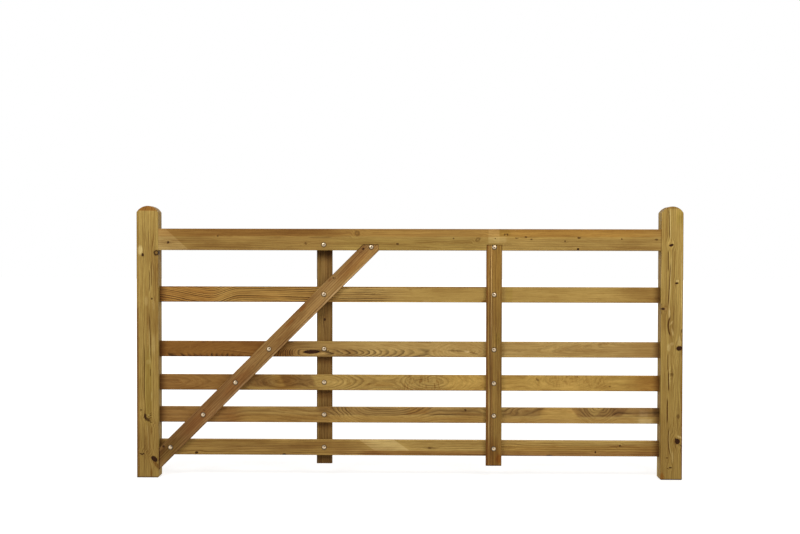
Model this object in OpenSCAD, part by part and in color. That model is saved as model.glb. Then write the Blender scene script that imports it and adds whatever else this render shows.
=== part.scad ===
// Wooden field gate: a leaf of two stiles, a top rail, five lower rails, two uprights and a diagonal brace.
// The origin is on the outer face of the hanging stile, level with its foot and midway through its thickness.
// +X runs from the hanging stile to the closing stile, +Y to the back of the gate and +Z up.

/* [Gate] */
// Overall width over both stiles
gate_w = 2400; // [2300:50:3600]
// Overall height of the stiles
gate_h = 1200; // [1050:10:1250]

/* [Stiles] */
// Width of a stile across the front
stile_w = 96; // [90:1:110]
// Thickness of the stiles and of the top rail
stile_t = 70; // [66:1:80]
// Rise of a stile's rounded top
crown_rise = 30; // [20:1:40]
// Radius of the eased long edges of the stiles and the top rail
stile_ease = 3; // [1:0.5:5]
// Height of the weathering bevel across the front of the hanging stile's top
bevel_h = 22; // [10:1:40]
// Depth of that bevel at the very top
bevel_t = 8; // [3:1:15]
// Small bevel along the edges of a foot
foot_ease = 4; // [1:0.5:5]

/* [Top rail] */
// Height of the top rail
top_rail_h = 95; // [85:1:110]
// Height of a stile's horn above the top rail
horn_h = 100; // [60:5:150]
// Thickness of the top rail's tenons
tenon_t = 24; // [16:1:30]
// Shoulder above and below the top rail's tenons
tenon_shoulder = 12; // [6:1:20]
// Length of every tenon in its stile
tenon_l = 60; // [40:1:75]

/* [Lower rails] */
// Height of each lower rail
rail_h = 69; // [60:1:76]
// Thickness of the lower rails, the uprights and the diagonal
rail_t = 20; // [18:1:22]
// Radius of the eased long edges of the rails and braces
rail_ease = 3; // [1:0.5:5]
// Clear height under the lowest rail
ground_gap = 98; // [80:1:140]
// Gap between the top rail and rail 2, at the standard height
gap_1 = 160; // [80:1:240]
// Gap between rails 2 and 3, at the standard height
gap_2 = 173; // [80:1:240]
// Gap between rails 3 and 4, at the standard height
gap_3 = 79; // [60:1:160]
// Gap between rails 4 and 5, at the standard height
gap_4 = 74; // [60:1:160]
// Gap between rails 5 and 6, at the standard height
gap_5 = 76; // [60:1:160]

/* [Braces] */
// Width of the uprights and the diagonal
brace_w = 69; // [60:1:76]
// Slope of the diagonal
diagonal_angle = 45; // [43:0.5:50]
// Height of the diagonal's lowest corner on the hanging stile
diagonal_foot = 33; // [30:1:60]
// Length of the uprights below the lowest rail
upright_drop = 40; // [20:1:60]
// Height of the front housings cut up into the top rail
front_housing_h = 27; // [24:1:40]
// Height of the back housing cut up into the top rail
back_housing_h = 50; // [40:1:70]

/* [Bolts] */
// Diameter of the bolt holes
hole_d = 9; // [7:0.5:11]
// Height of the bolts above the middle of each lower rail
bolt_rise = 1; // [0:1:10]
// Height of the front bolts above the underside of the top rail
front_bolt_h = 15; // [12:1:20]
// Height of the back upright's bolt above the underside of the top rail
back_bolt_h = 25; // [20:1:36]

/* [Hidden] */
$fn = 48;

over = 1;                    // how far a cut runs past the faces it opens
mortise_gap = 4;             // space left for glue beyond the end of a tenon

// The mid-planes of the timbers lie one behind another: front braces, rails, back upright
front_y = -rail_t;
back_y = rail_t;
front_face = -stile_t / 2;
back_face = stile_t / 2;

// The free height is shared out between the rails in the proportions of the five gaps
gaps = [gap_1, gap_2, gap_3, gap_4, gap_5];
function sum_of(list, last) = last < 0 ? 0 : list[last] + sum_of(list, last - 1);
rail_count = len(gaps);
top_rail_z = gate_h - horn_h - top_rail_h;
free_h = top_rail_z - ground_gap - rail_count * rail_h;
gap_scale = free_h / sum_of(gaps, rail_count - 1);
// Middle height of each lower rail, from rail 2 down to rail 6
rail_z = [for (i = [0 : rail_count - 1]) top_rail_z - sum_of(gaps, i) * gap_scale - (i + 0.5) * rail_h];
bolt_z = [for (z = rail_z) z + bolt_rise];

// The diagonal's lower edge starts at its foot, and its middle line runs half a width above that
diagonal_rise = brace_w / 2 / cos(diagonal_angle);
function diagonal_x(z) = stile_w + (z - diagonal_foot - diagonal_rise) / tan(diagonal_angle);
diagonal_end_x = stile_w + (top_rail_z - diagonal_foot) / tan(diagonal_angle);

// The back upright stands where the diagonal crosses rail 2, so that one bolt holds all three
rear_x = diagonal_x(bolt_z[0]);
front_x = gate_w - rear_x;
upright_foot = ground_gap - upright_drop;
front_top = top_rail_z + front_housing_h;
back_top = top_rail_z + back_housing_h;
front_bolt_z = top_rail_z + front_bolt_h;
back_bolt_z = top_rail_z + back_bolt_h;

// A stile's rounded top is an arc across its width
crown_r = (pow(stile_w / 2, 2) + pow(crown_rise, 2)) / (2 * crown_rise);

// Rectangle centred on the origin with rounded corners
module eased_section(w, h, r) {
    square([w - 2 * r, h], center = true);
    square([w, h - 2 * r], center = true);
    for (x = [-1, 1], y = [-1, 1])
        translate([x * (w / 2 - r), y * (h / 2 - r)])
            circle(r);
}

// Timber lying along X from x = 0, centred on Y and Z
module lying(length, thick, high, ease)
    rotate([90, 0, 90])
        linear_extrude(length)
            eased_section(thick, high, ease);

// Timber standing on z = 0, centred on X and Y
module standing(length, wide, thick, ease)
    linear_extrude(length)
        eased_section(wide, thick, ease);

// Hole for a bolt, right through the gate from front to back
module bolt_hole(x, z)
    translate([x, back_face + over, z])
        rotate([90, 0, 0])
            cylinder(d = hole_d, h = stile_t + 2 * over);

// Triangle over a corner at the origin that takes foot_ease off both of its sides
module eased_corner()
    polygon([
        [-over, -over],
        [foot_ease + over, -over],
        [-over, foot_ease + over]
    ]);

// Wedge running through along Y, which eases a foot's edge at x = 0
module side_bevel()
    translate([0, back_face + over, 0])
        rotate([90, 0, 0])
            linear_extrude(stile_t + 2 * over)
                eased_corner();

// Wedges running along X, which ease a foot's front and back edges
module face_bevels()
    for (side = [0, 1])
        mirror([0, side, 0])
            translate([-over, front_face, 0])
                rotate([90, 0, 90])
                    linear_extrude(stile_w + 2 * over)
                        eased_corner();

// Stile with its rounded top and its mortises, standing in +X of the origin with its mortised edge at x = stile_w
module stile()
    difference() {
        intersection() {
            translate([stile_w / 2, 0, 0])
                standing(gate_h, stile_w, stile_t, stile_ease);
            crown();
        }
        face_bevels();
        translate([stile_w, 0, 0])
            mirror([1, 0, 0])
                side_bevel();
        mortises();
    }

// Everything under the arc of a stile's top
module crown() {
    translate([stile_w / 2, 0, gate_h - crown_r])
        rotate([90, 0, 0])
            cylinder(r = crown_r, h = stile_t + 2 * over, center = true, $fn = 96);
    translate([-crown_r, front_face - over, -over])
        cube([stile_w + 2 * crown_r, stile_t + 2 * over, gate_h - crown_r + over]);
}

// Blind mortises that face +X: a shouldered one for the top rail and a full-size one for each lower rail
module mortises()
    translate([stile_w - tenon_l - mortise_gap, 0, 0]) {
        translate([0, 0, top_rail_z])
            top_tenon(tenon_l + mortise_gap + over);
        for (z = rail_z)
            translate([0, 0, z])
                lying(tenon_l + mortise_gap + over, rail_t, rail_h, rail_ease);
    }

// Tenon of the top rail, lying along X from x = 0, above the underside of the rail
module top_tenon(length)
    translate([0, -tenon_t / 2, tenon_shoulder])
        cube([length, tenon_t, top_rail_h - 2 * tenon_shoulder]);

module hanging_stile()
    color("#a98a4b")
        difference() {
            stile();
            weathering_bevel();
        }

// Sloping cut across the front of the hanging stile's top, to shed rain
module weathering_bevel() {
    slope = bevel_h / bevel_t;
    translate([-over, front_face, gate_h - bevel_h])
        rotate([90, 0, 90])
            linear_extrude(stile_w + 2 * over)
                polygon([
                    [-over, -over * slope],
                    [bevel_t + over, bevel_h + over * slope],
                    [-over, bevel_h + over * slope]
                ]);
}

module closing_stile()
    color("#a78746")
        translate([gate_w, 0, 0])
            mirror([1, 0, 0])
                difference() {
                    stile();
                    side_bevel();
                }

module top_rail()
    color("#a27d3d")
        difference() {
            union() {
                translate([stile_w, 0, top_rail_z + top_rail_h / 2])
                    lying(gate_w - 2 * stile_w, stile_t, top_rail_h, stile_ease);
                translate([stile_w - tenon_l, 0, top_rail_z])
                    top_tenon(gate_w - 2 * stile_w + 2 * tenon_l);
            }
            front_housings();
            back_housing();
            bolt_hole(diagonal_x(front_bolt_z), front_bolt_z);
            bolt_hole(front_x, front_bolt_z);
            bolt_hole(rear_x, back_bolt_z);
        }

// Recesses in the front of the top rail for the heads of the diagonal and the front upright
module front_housings()
    translate([0, front_face - over, 0]) {
        intersection() {
            diagonal_line()
                translate([0, 0, -brace_w / 2])
                    cube([2 * gate_h, back_face - rail_t / 2 + over, brace_w]);
            diagonal_limits();
        }
        translate([front_x - brace_w / 2, 0, top_rail_z - over])
            cube([brace_w, back_face - rail_t / 2 + over, front_housing_h + over]);
    }

// Recess in the back of the top rail for the head of the back upright
module back_housing()
    translate([rear_x - brace_w / 2, rail_t / 2, top_rail_z - over])
        cube([brace_w, back_face - rail_t / 2 + over, back_housing_h + over]);

module lower_rail(i)
    color(i % 2 == 0 ? "#a17c42" : "#9b7440")
        difference() {
            translate([stile_w - tenon_l, 0, rail_z[i]])
                lying(gate_w - 2 * stile_w + 2 * tenon_l, rail_t, rail_h, rail_ease);
            bolt_hole(rear_x, bolt_z[i]);
            bolt_hole(front_x, bolt_z[i]);
            if (i > 0)
                bolt_hole(diagonal_x(bolt_z[i]), bolt_z[i]);
        }

// Puts what lies along X onto the middle line of the diagonal
module diagonal_line()
    translate([diagonal_x(0), 0, 0])
        rotate([0, -diagonal_angle, 0])
            children();

// The diagonal is cut upright against the stile, and level and upright at its head in the top rail
module diagonal_limits()
    translate([stile_w, -stile_t, 0])
        cube([diagonal_end_x - stile_w, 2 * stile_t, front_top]);

module diagonal_brace()
    color("#96693a")
        difference() {
            intersection() {
                diagonal_line()
                    translate([0, front_y, 0])
                        lying(2 * gate_h, rail_t, brace_w, rail_ease);
                diagonal_limits();
            }
            for (z = concat(bolt_z, [front_bolt_z]))
                bolt_hole(diagonal_x(z), z);
        }

module front_upright()
    color("#97753a")
        difference() {
            translate([front_x, front_y, upright_foot])
                standing(front_top - upright_foot, brace_w, rail_t, rail_ease);
            for (z = concat(bolt_z, [front_bolt_z]))
                bolt_hole(front_x, z);
        }

module rear_upright()
    color("#7d5f33")
        difference() {
            translate([rear_x, back_y, upright_foot])
                standing(back_top - upright_foot, brace_w, rail_t, rail_ease);
            for (z = concat(bolt_z, [back_bolt_z]))
                bolt_hole(rear_x, z);
        }

hanging_stile();
closing_stile();
top_rail();
lower_rail(0);  // rail_2
lower_rail(1);  // rail_3
lower_rail(2);  // rail_4
lower_rail(3);  // rail_5
lower_rail(4);  // rail_6
diagonal_brace();
front_upright();
rear_upright();
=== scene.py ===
import math

import bpy
import bmesh
from mathutils import Matrix, Vector


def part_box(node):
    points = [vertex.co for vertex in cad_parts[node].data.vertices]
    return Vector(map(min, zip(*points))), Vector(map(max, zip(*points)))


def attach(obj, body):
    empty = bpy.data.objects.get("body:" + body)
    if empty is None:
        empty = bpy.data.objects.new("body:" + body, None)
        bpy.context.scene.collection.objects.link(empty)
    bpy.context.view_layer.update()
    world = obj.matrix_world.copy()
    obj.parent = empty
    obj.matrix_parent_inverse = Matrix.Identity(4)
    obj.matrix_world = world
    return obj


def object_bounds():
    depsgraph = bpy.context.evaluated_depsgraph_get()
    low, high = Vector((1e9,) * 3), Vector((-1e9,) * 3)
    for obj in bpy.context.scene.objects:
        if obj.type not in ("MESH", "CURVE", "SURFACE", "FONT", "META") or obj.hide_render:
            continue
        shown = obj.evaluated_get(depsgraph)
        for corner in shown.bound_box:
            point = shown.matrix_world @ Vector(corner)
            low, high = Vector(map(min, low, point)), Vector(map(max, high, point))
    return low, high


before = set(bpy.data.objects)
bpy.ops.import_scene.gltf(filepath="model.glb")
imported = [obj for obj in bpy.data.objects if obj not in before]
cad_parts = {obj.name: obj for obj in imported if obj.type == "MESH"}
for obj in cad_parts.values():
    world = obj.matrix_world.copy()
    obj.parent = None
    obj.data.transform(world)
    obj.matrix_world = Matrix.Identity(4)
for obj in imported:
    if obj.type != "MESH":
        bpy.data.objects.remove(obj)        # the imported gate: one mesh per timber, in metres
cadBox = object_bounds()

print("gate frame loaded:", len(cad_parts), "timbers")


class Wire:
    # one socket; sums and products of wires add Math nodes
    def __init__(self, sheet, socket):
        self.sheet = sheet
        self.socket = socket

    def math(self, operation, *others):
        return self.sheet.add("Math", {"operation": operation}, (self, *others))

    def __add__(self, other):
        return self.math("ADD", other)

    def __sub__(self, other):
        return self.math("SUBTRACT", other)

    def __mul__(self, other):
        return self.math("MULTIPLY", other)

    def __rsub__(self, other):
        return self.sheet.add("Math", {"operation": "SUBTRACT"}, (other, self))

    def __abs__(self):
        return self.math("ABSOLUTE")


class Sheet:
    def __init__(self, tree):
        self.tree = tree
        tree.nodes.clear()

    def add(self, kind, settings=None, sockets=(), output=0):
        node = self.tree.nodes.new("ShaderNode" + kind)
        for key, value in (settings or {}).items():
            if key == "stops":
                self.setStops(node.color_ramp, value)
            else:
                setattr(node, key, value)
        pairs = sockets.items() if isinstance(sockets, dict) else enumerate(sockets)
        for key, value in pairs:
            if isinstance(value, Wire):
                self.tree.links.new(value.socket, node.inputs[key])
            else:
                node.inputs[key].default_value = value
        return Wire(self, node.outputs[output]) if node.outputs else node

    def setStops(self, ramp, stops):
        while len(ramp.elements) < len(stops):
            ramp.elements.new(0.5)
        for element, (place, colour) in zip(ramp.elements, stops):
            element.position = place
            element.color = (*colour, 1)

    def mix(self, factor, first, second, way="MIX"):
        settings = {"data_type": "RGBA", "blend_type": way}
        return self.add("Mix", settings, {0: factor, 6: first, 7: second}, 2)

    def step(self, value, low, high, top=1.0):
        # eases from 0 at low to top at high
        settings = {"interpolation_type": "SMOOTHSTEP"}
        return self.add("MapRange", settings, (value, low, high, 0.0, top))

    def point(self, x, y, z):
        return self.add("CombineXYZ", sockets=(x, y, z))

    def vector(self, operation, *vectors, output="Vector"):
        return self.add("VectorMath", {"operation": operation}, vectors, output)

    def noise(self, vector, scale, detail=2.0, rough=0.5):
        values = {"Vector": vector, "Scale": scale, "Detail": detail, "Roughness": rough}
        return self.add("TexNoise", sockets=values)


def rgb(red, green, blue):
    # a display colour of 0 to 255 as the linear colour that nodes take
    def linear(v):
        v = v / 255
        return v / 12.92 if v <= 0.04045 else ((v + 0.055) / 1.055) ** 2.4
    return linear(red), linear(green), linear(blue)


def newMaterial(name):
    material = bpy.data.materials.new(name)
    material.use_nodes = True
    return material, Sheet(material.node_tree)


def addBump(sheet, height, strength, distance):
    # distance is the relief's depth in metres
    values = {"Strength": strength, "Distance": distance, "Height": height}
    return sheet.add("Bump", sockets=values, output="Normal")


def endWith(sheet, kind, values, output="Material"):
    # adds a surface shader and joins it to the output
    surface = sheet.add(kind, sockets=values)
    sheet.add("Output" + output, sockets={"Surface": surface})


cameraView = {
    "place": (1.2308, -4.9098, 1.0221),
    "yaw": -0.825,               # degrees, to the right of straight on
    "pitch": -1.049,
    "roll": 0.108,
    "lens": 50,
}


def addCamera(view):
    bpy.ops.object.camera_add(location=view["place"])
    camera = bpy.context.object
    camera.name = "camera"
    camera.data.lens = view["lens"]
    turn = Matrix.Rotation(math.radians(-view["yaw"]), 3, "Z")
    tilt = Matrix.Rotation(math.radians(90 + view["pitch"]), 3, "X")
    roll = Matrix.Rotation(math.radians(view["roll"]), 3, "Z")
    camera.rotation_euler = (turn @ tilt @ roll).to_euler()
    bpy.context.scene.camera = camera


studio = {
    "floorSize": 60.0,
    "floorColour": (0.66, 0.66, 0.66),
    "floorLift": 0.60,           # white added to the floor for the camera near the gate
    "floorFar": 1.0,             # the same beyond the lamps' reach
    "floorReach": (1.5, 4.0),    # where the one gives way to the other
    "sky": 0.40,                 # strength of the white room as light
    "lampSize": (1.3, 1.1),
    "lampPower": 33.3,
    "lampAway": 2.0,
    "lampHigh": 2.5,
    "lampAim": 1.15,             # height on the gate that the lamps point at
    "lampOut": 0.25,             # how far past each stile a lamp stands
    "lampInward": 0.35,          # its aim, as a share of the way from the middle to the lamp
    "rearPower": 15,             # the same two lamps again, weaker, for the back
    "rearHigh": 1.5,
    "flagSize": (5.0, 9.0),      # a dark card behind the camera, for the bolts to mirror
    "flagAway": 5.6,
    "flagColour": (0.05, 0.04, 0.035),
}


def seenDirectly(sheet):
    # 1 for what the camera sees, also in metal and glass
    camera = sheet.add("LightPath", output="Is Camera Ray")
    glossy = sheet.add("LightPath", output="Is Glossy Ray")
    through = sheet.add("LightPath", output="Is Transmission Ray")
    return camera.math("MAXIMUM", glossy).math("MAXIMUM", through)


def addFloor(look, low, middle):
    bpy.ops.mesh.primitive_plane_add(size=look["floorSize"], location=(middle.x, middle.y, low.z))
    floor = bpy.context.object
    floor.name = "floor"
    material, sheet = newMaterial("floor_paper")
    place = sheet.add("TexCoord", output="Object")
    reach = sheet.vector("LENGTH", place, output="Value")
    far = sheet.step(reach, *look["floorReach"], look["floorFar"] - look["floorLift"])
    white = (far + look["floorLift"]) * seenDirectly(sheet)
    lift = sheet.mix(white, (0, 0, 0, 1), (1, 1, 1, 1))
    paper = sheet.add("BsdfDiffuse", sockets=((*look["floorColour"], 1),))
    glow = sheet.add("Emission", sockets={"Color": lift})
    endWith(sheet, "AddShader", (paper, glow))
    floor.data.materials.append(material)


def addRoom(look):
    # a white room that lights the gate softly from all sides
    world = bpy.data.worlds.new("white_room")
    world.use_nodes = True
    bpy.context.scene.world = world
    sheet = Sheet(world.node_tree)
    strength = seenDirectly(sheet) * (1.0 - look["sky"]) + look["sky"]
    endWith(sheet, "Background", {"Color": (1, 1, 1, 1), "Strength": strength}, "World")


def addLamps(look, low, high, middle):
    sides = [("left", low.x - look["lampOut"]), ("right", high.x + look["lampOut"])]
    rows = [
        ("front", low.y - look["lampAway"], look["lampHigh"], look["lampPower"]),
        ("rear", high.y + look["lampAway"], look["rearHigh"], look["rearPower"]),
    ]
    for row, y, z, power in rows:
        for side, x in sides:
            spot = Vector((x, y, z))
            aimX = middle.x + (x - middle.x) * look["lampInward"]
            aim = Vector((aimX, middle.y, look["lampAim"])) - spot
            bpy.ops.object.light_add(type="AREA", location=spot)
            lamp = bpy.context.object
            lamp.name = "softbox_" + row + "_" + side
            lamp.rotation_euler = aim.to_track_quat("-Z", "Y").to_euler()
            lamp.data.shape = "RECTANGLE"
            lamp.data.size, lamp.data.size_y = look["lampSize"]
            lamp.data.energy = power


def addFlag(look, low, middle):
    bpy.ops.mesh.primitive_plane_add(size=1, location=(middle.x, low.y - look["flagAway"], middle.z),
                                     rotation=(math.radians(90), 0, 0))
    flag = bpy.context.object
    flag.name = "flag"
    flag.scale = (*look["flagSize"], 1)
    flag.visible_camera = False
    flag.visible_diffuse = False
    flag.visible_shadow = False
    material, sheet = newMaterial("flag_cloth")
    endWith(sheet, "BsdfDiffuse", {"Color": (*look["flagColour"], 1)})
    flag.data.materials.append(material)


def addStudio(look):
    low, high = cadBox
    middle = (low + high) / 2
    addFloor(look, low, middle)
    addRoom(look)
    addLamps(look, low, high, middle)
    addFlag(look, low, middle)


bpy.context.scene.view_settings.view_transform = "Standard"
addCamera(cameraView)
addStudio(studio)
print("camera and studio set")


# Bolts go through every crossing; their places are needed for the wood as well.

boltRows = {
    "rise": 0.001,               # above the middle of a lower rail
    "frontTop": 0.015,           # above the underside of the top rail
    "backTop": 0.025,
    "braceTurn": 45,             # the diagonal's slope in degrees
}


def boltPlaces(rows):
    # where each bolt goes: name, x, z, and the faces that its head and its nut bear on
    faces = {node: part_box(node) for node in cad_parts}
    rails = [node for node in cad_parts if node.startswith("rail_")]
    front, rear, brace = faces["front_upright"], faces["rear_upright"], faces["diagonal_brace"]
    top = faces["top_rail"]
    stile = faces["hanging_stile"][1]
    braceWide = front[1].x - front[0].x
    foot = brace[0].z + braceWide / 2 / math.cos(math.radians(rows["braceTurn"]))
    frontX = (front[0].x + front[1].x) / 2
    rearX = (rear[0].x + rear[1].x) / 2
    topZ = top[0].z + rows["frontTop"]
    places = [
        ("top_rail_front", frontX, topZ, front[0].y, top[1].y),
        ("top_rail_diagonal", stile.x + topZ - foot, topZ, brace[0].y, top[1].y),
        ("top_rail_rear", rearX, top[0].z + rows["backTop"], top[0].y, rear[1].y),
    ]
    for rail in rails:
        low, high = faces[rail]
        z = (low.z + high.z) / 2 + rows["rise"]
        crossing = stile.x + z - foot
        places.append((rail + "_front", frontX, z, front[0].y, high.y))
        if abs(crossing - rearX) < braceWide / 4:
            places.append((rail + "_rear", rearX, z, brace[0].y, rear[1].y))
        else:
            places.append((rail + "_rear", rearX, z, low.y, rear[1].y))
            if crossing < rearX:
                places.append((rail + "_diagonal", crossing, z, brace[0].y, high.y))
    return places


places = boltPlaces(boltRows)


# Timber. Knots, rolls, patches, lines and marks are placed in millimetres along and across, from a
# timber's lower left corner as it lies flat, so on an upright one they run up from its foot and
# leftwards from its right edge. The other lengths are in metres.

tints = {
    "pale": (1.25, 1.28, 1.36),
    "cream": (1.58, 1.80, 2.60),
    "golden": (1.12, 1.06, 0.90),
    "ochre": (0.92, 0.80, 0.62),
    "orange": (0.88, 0.64, 0.42),
    "russet": (0.66, 0.48, 0.42),
    "olive": (0.86, 0.88, 0.66),
    "grey": (0.56, 0.46, 0.46),
    "brown": (0.58, 0.43, 0.29),
    "dark": (0.22, 0.13, 0.06),
    "paintedShade": (0.80, 0.79, 0.76),      # painted shade on the inner sides of upright timbers
    "soaked": (0.60, 0.50, 0.42),      # sawn ends
}


timbers = {}


def timber(node, tones, **own):
    # begins a timber; the calls that follow belong to it
    parts = {kind: [] for kind in ("rolls", "knots", "patches", "lines", "marks")}
    timbers[node] = {**timberBasics, **tones, **own, **parts}


def lay(kind, lengths, others):
    # adds a feature to the timber last begun; its lengths are kept in metres
    newest = list(timbers.values())[-1]
    metres = {name: length if length is None else length / 1000 for name, length in lengths.items()}
    newest[kind].append({**metres, **others})


def roll(start, end, deeper, aside):
    # how far the pith moves between two places along the timber
    lay("rolls", dict(start=start, end=end, deeper=deeper, aside=aside), {})


def knot(along, across, size, dark=0.9, stretch=1.25, turn=0, swirl=0, back=False, hollow=False):
    # size is the half width; swirl raises a lump in the rings, and dark 0 leaves only that lump
    lay("knots", dict(along=along, across=across, size=size),
        dict(dark=dark, stretch=stretch, turn=turn, swirl=swirl, back=back, hollow=hollow))


def patch(along, across, long, wide, tint, amount, turn=0):
    # a ragged oval of other colour on the front face, of so much half length and half width
    lay("patches", dict(along=along, across=across, size=wide),
        dict(stretch=long / wide, turn=turn, tint=tint, amount=amount, back=False))


def line(start, end, across, wide, tint, amount, rise=0, bow=0):
    # a crack or a thin streak along the front face; rise and bow shape its course
    lay("lines", dict(start=start, end=end, across=across, wide=wide, rise=rise, bow=bow),
        dict(tint=tint, amount=amount))


def mark(start, end, tint, amount, low=None, high=None, soft=4, edge=2, slant=0, wander=0):
    # a stretch of other colour on the front face, as far as the timber's own end where a bound is
    # None; slant leans its ends and wander bends its sides
    lay("marks", dict(start=start, end=end, low=low, high=high, soft=soft, edge=edge, wander=wander),
        dict(tint=tint, amount=amount, slant=slant))


timberBasics = {
    "turn": 0,                   # degrees from level
    "pale": rgb(181, 148, 80),
    "deep": rgb(96, 63, 22),
    "ringGap": 0.0060,
    "rings": 0.8,                # how dark the late wood is
    "heart": (-0.04, 0.090),     # the pith: across the face, and behind the front face
    "lean": (0.004, 0.012),      # how the pith drifts across and back for each metre along
    "wave": 0.0030,              # how far the rings wander
    "streak": 0.60,
    "fibre": 0.60,
    "blotch": 0.35,
    "cornerShade": 0.0,                # how far painted shade from the stiles' corners reaches along a rail
    "seed": 0.0,
}

stileTones = {
    "pale": rgb(178, 147, 77), "deep": rgb(92, 61, 20),
    "ringGap": 0.0070, "wave": 0.0040, "rings": 0.45,
}
railTones = {"cornerShade": 0.040, "lean": (0.0, 0.0)}
braceTones = {"pale": rgb(162, 126, 66), "deep": rgb(92, 60, 23), "streak": 0.70, "fibre": 0.75}

timber("hanging_stile", stileTones, turn=90, heart=(0.15, 0.055), lean=(-0.01, 0.01), seed=1.3)
knot(105, 78.5, 2.6, 0.85, 2.2, 65)
knot(104.5, 69, 3, 0.9, 2.2, -60)
knot(299, 77.5, 4.5, 0.6, 0.8)
knot(270, 59, 5.2, 0.95, 2.6, 6)
knot(257, 49, 6, 0.75, 2, 58)
knot(246, 34.5, 1.8, 0.6, 3.5, 62)
knot(263.5, 37, 1.7, 0.6, 4, -64)
knot(274.5, 36.5, 1.8, 0.7, 5, -58)
knot(285, 33, 1.4, 0.6, 3.5, -48)
knot(83, 19, 10, 1, 1.6, 50)
knot(791, 29, 3.5, 0.8)
knot(984, 69, 5.5, 0.95)
knot(993, 8.5, 11.5, 0.9, 1.05, hollow=True)
knot(620, 50, 12, 0.8, 1.4, back=True)
knot(210, 30, 9, 0.8, 1.4, back=True)
patch(1005, 80, 22, 12.5, "cream", 1)
patch(780, 53, 22, 8, "cream", 0.45)
patch(512, 45, 12, 11, "cream", 0.35)
patch(590, 20, 50, 8, "cream", 0.45)
patch(765, 21.5, 28, 4, "cream", 0.55)
patch(920, 23.5, 50, 3, "cream", 0.4)
patch(275, 42, 8, 4, "cream", 0.7, 40)
patch(360, 31, 22, 3, "cream", 0.4)
patch(55, 8, 26, 8, "brown", 0.9, 40)
patch(18, 31, 26, 4, "brown", 0.9)
patch(207, 32, 18, 3, "brown", 0.6)
patch(790, 15, 18, 2.5, "brown", 0.6)
line(0, 190, 62, 2.6, "dark", 0.43)
line(110, 250, 45, 3, "cream", 0.47, 8, -3)
line(325, 610, 62.7, 3.3, "dark", 0.79)
line(445, 485, 35.6, 2.6, "dark", 0.79)
line(495, 745, 30, 2.8, "dark", 0.92, 11)
line(480, 700, 34.5, 2.2, "cream", 0.51, 9)
line(815, 925, 40, 2.6, "dark", 0.92)
line(800, 930, 35, 1.8, "cream", 0.38)
line(835, 965, 30.5, 2.4, "dark", 0.79)
line(990, 1100, 43, 2.1, "dark", 0.55)
mark(1178.5, 1300, "orange", 0.95, soft=1.5)
mark(1178.5, 1300, "brown", 0.55, 15, 85, soft=1.5, edge=12)
# painted shade on the eased outer edge
mark(None, 750, "brown", 1, 88.5, edge=2.5)
mark(750, None, "brown", 0.8, 91.5)
mark(None, 620, "brown", 0.4, 82, 89, wander=2)
mark(240, 560, "olive", 0.7, 30, 60, soft=50, edge=6)
mark(640, 980, "brown", 0.35, high=14, soft=50, edge=4, wander=4)
mark(0, 300, "brown", 0.35, soft=160)
# painted shade along the bottom edge of the foot
mark(-100, 5, "dark", 0.7, soft=3)

timber("closing_stile", stileTones, turn=90, heart=(-0.055, 0.06), lean=(0.006, 0.008), seed=4.1)
knot(54.5, 52, 6.2, 0.9, 0.55)
knot(50, 62, 1.8, 0.6, 3, 60)
knot(98, 66, 5, 0.45, 0.6)
knot(170, 21.5, 11, 1, 1.05, 35)
knot(175, 29, 3.5, 0.95, 2.6)
knot(151, 4.5, 2.5, 0.7, 3.5, 55)
knot(280, 19, 6, 0.35, 1.4)
knot(464, 49, 8, 0.3, 0.9)
knot(579, 16, 12.5, 1, 0.8, 10)
knot(655, 5.5, 3, 0.6, 3)
knot(752, 87.7, 8.5, 0.95, 0.6)
knot(864, 28.3, 6.8, 1, 0.6)
knot(1031, 52.5, 9.5, 1, 0.55, 15)
knot(730, 60, 11, 0.8, 1.4, back=True)
knot(330, 25, 10, 0.85, 1.4, back=True)
patch(190, 13, 12, 5, "cream", 1, 65)
patch(100, 43, 28, 3.5, "cream", 0.7)
patch(582, 61, 18, 8, "cream", 0.6)
patch(598, 48, 8, 8, "cream", 0.5)
patch(651, 46.5, 18, 4.5, "cream", 0.9, 10)
patch(690, 51, 13, 4, "cream", 0.9, -35)
patch(725, 59.5, 28, 4, "cream", 0.9)
patch(752, 76, 7, 7, "cream", 0.5)
patch(874, 27, 6, 8, "cream", 0.7)
patch(1032, 53, 20, 16, "pale", 0.7)
patch(610, 15, 25, 10, "cream", 0.35)
patch(1180, 20, 22, 16, "pale", 0.6)
patch(170, 36, 14, 4, "brown", 0.5)
patch(755, 80, 18, 10, "russet", 0.4)
patch(10, 88, 24, 10, "orange", 1)
line(95, 240, 48.5, 2.8, "dark", 0.92, 8, 9)
line(100, 235, 44, 2.2, "cream", 0.77, 8, 9)
line(242, 368, 65.8, 3.5, "dark", 1)
line(385, 485, 61.6, 3.2, "dark", 1)
line(400, 570, 57.5, 2.4, "cream", 0.77)
line(475, 560, 65.5, 2.8, "dark", 0.85)
line(628, 725, 53, 5.2, "dark", 1, 0, 11.5)
line(640, 750, 42, 1.9, "dark", 0.43)
line(745, 965, 66.8, 3.1, "dark", 0.92, -12)
line(700, 1000, 62.5, 2.6, "cream", 0.85, -11)
line(910, 1015, 65.8, 3.1, "dark", 0.98)
line(1050, 1200, 60.5, 2.8, "dark", 0.92, 5)
line(1040, 1210, 56, 2.4, "cream", 0.85, 4)
line(720, 1020, 7.8, 2.2, "cream", 0.68)
# painted shade on the eased right edge
mark(None, 640, "brown", 1, high=5.5)
mark(640, None, "brown", 0.6, high=4)
mark(1120, 1185, "olive", 0.8, 4, 30, soft=20, edge=8)
mark(0, 300, "brown", 0.3, soft=160)
# painted shade along the bottom edge of the foot
mark(-100, 5, "dark", 0.7, soft=3)
mark(1190, 1300, "brown", 0.6, soft=3)

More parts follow.
